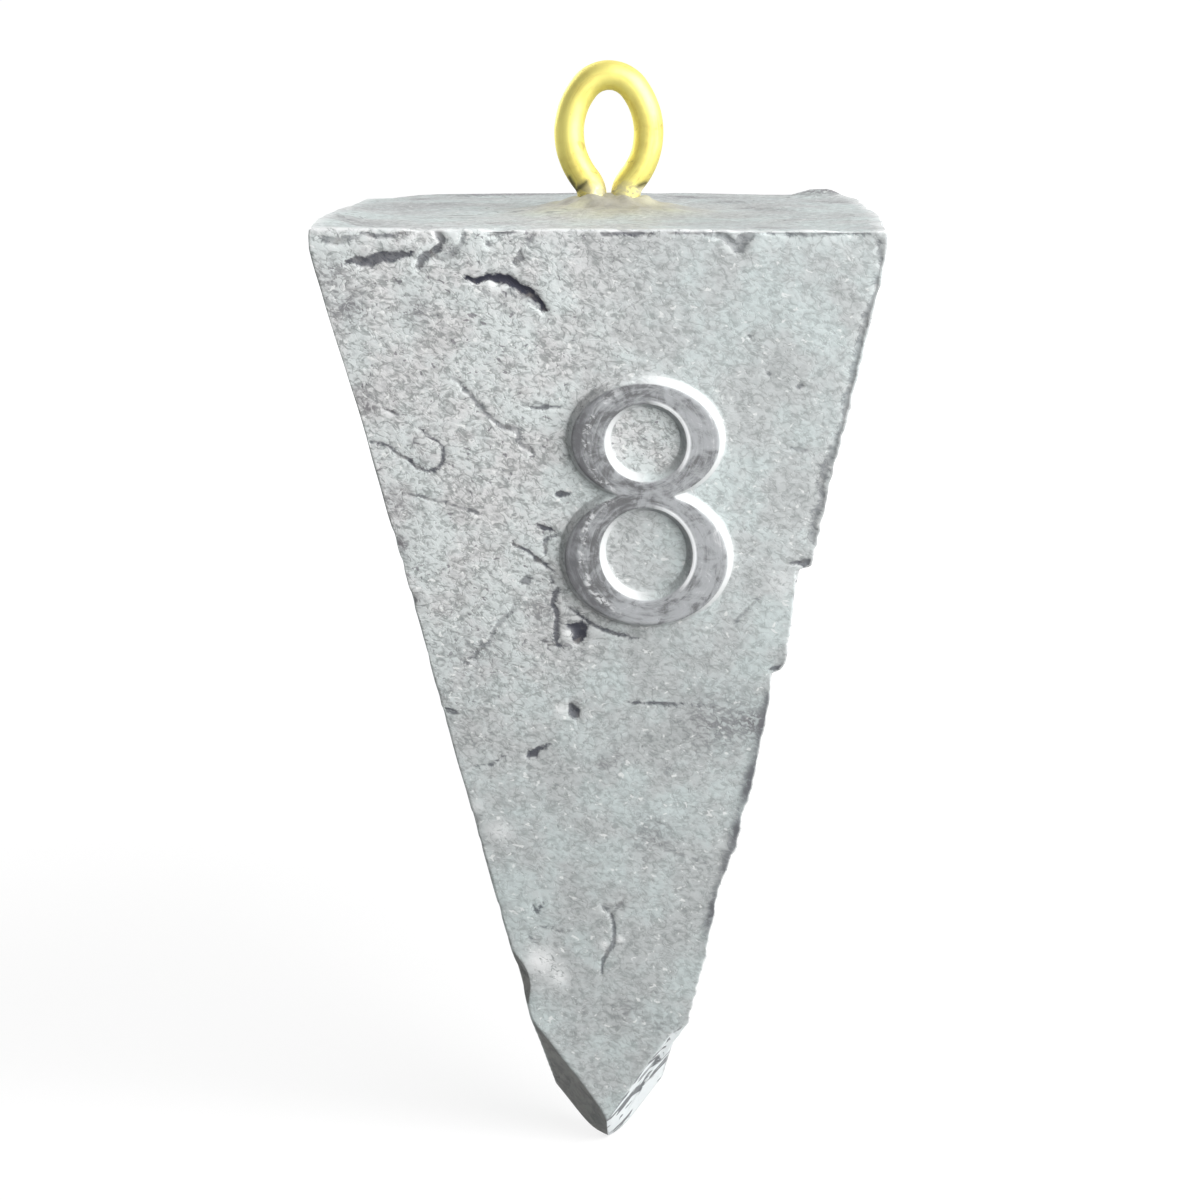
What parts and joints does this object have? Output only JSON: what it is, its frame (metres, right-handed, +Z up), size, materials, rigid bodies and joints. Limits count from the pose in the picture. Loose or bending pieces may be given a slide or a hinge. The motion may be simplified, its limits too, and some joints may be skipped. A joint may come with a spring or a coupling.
{
  "type": "fishing sinker",
  "caption": "Pyramid fishing sinker: a poured lead weight, square at the top and drawn to a faceted tip, with a raised weight figure and a brass wire eye cast into the top.",
  "frame": {"origin": "middle of the wire eye's opening, at its widest, where the line pulls", "axes": "+Z up along the sinker, from its tip to its eye, as it hangs; the face with the raised figure looks along -Y; +X to the right as that face is read"},
  "size_m": [0.0304, 0.0304, 0.0631],
  "materials": {
    "cast_lead": "dull grey cast lead, mottled, dented and scratched",
    "brass_wire": "bright drawn brass wire"
  },
  "bodies": {
    "root": {"lead_weight": "cast_lead", "wire_eye": "brass_wire"}
  },
  "joints": []
}
